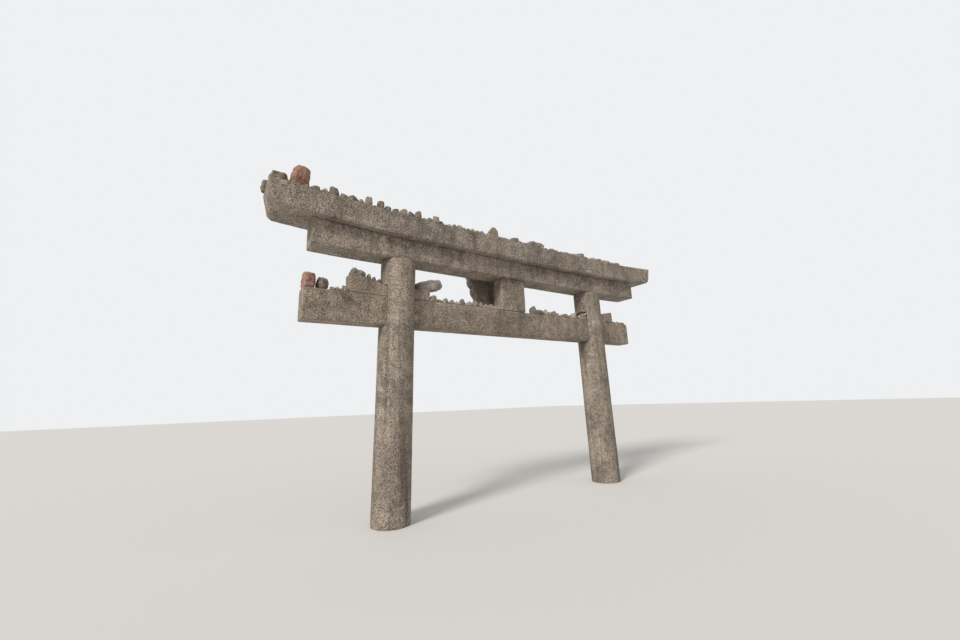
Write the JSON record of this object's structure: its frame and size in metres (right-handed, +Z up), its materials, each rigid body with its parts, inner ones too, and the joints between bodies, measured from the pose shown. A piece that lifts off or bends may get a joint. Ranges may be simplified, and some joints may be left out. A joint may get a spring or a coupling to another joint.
{
  "type": "torii gate",
  "caption": "Weathered stone torii gate: round leaning pillars, wedged tie beam, two curved lintels, a bare tablet and rows of loose stones laid along its beams.",
  "frame": {"origin": "centre of the left pillar's foot, at ground level", "axes": "+X along the beams from the left pillar to the right one, +Y to the side with the tablet, +Z up"},
  "size_m": [5.6726, 0.6948, 3.3912],
  "materials": {
    "granite_pillar": "weathered dressed granite",
    "granite_beam": "weathered dressed granite",
    "granite_wedge": "weathered split granite",
    "granite_lintel": "weathered dressed granite",
    "granite_top": "weathered dressed granite",
    "granite_tablet": "carved granite, bare face",
    "rock_brown": "rough beach rock",
    "rock_red": "rough reddish beach rock",
    "rock_grey": "rough grey beach rock",
    "pebbles": "beach pebbles in mixed greys and browns"
  },
  "bodies": {
    "root": {"left_pillar": "granite_pillar", "right_pillar": "granite_pillar", "tie_beam": "granite_beam", "outer_left_wedge": "granite_wedge", "inner_left_wedge": "granite_wedge", "outer_right_wedge": "granite_wedge", "lower_lintel": "granite_lintel", "top_lintel": "granite_top", "strut": "granite_beam", "tablet_panel": "granite_tablet", "tablet_border": "granite_tablet", "end_block": "rock_brown", "red_boulder": "rock_red", "pointed_rock": "rock_brown", "long_flat_rock": "rock_grey", "right_flat_rocks": "rock_grey", "top_cobbles": "rock_brown", "top_pebbles_far_left": "pebbles", "top_pebbles_left": "pebbles", "top_pebbles_middle": "pebbles", "top_pebbles_right": "pebbles", "tie_end_rock": "rock_red", "tie_block": "rock_brown", "wedge_slab": "rock_grey", "leaning_slab": "rock_grey", "left_wedge_stones": "pebbles", "stub_pebbles_left": "pebbles", "stub_pebbles_right": "pebbles", "tie_pebbles_left": "pebbles", "tablet_rubble": "pebbles", "tie_pebbles_right": "pebbles"}
  },
  "joints": []
}
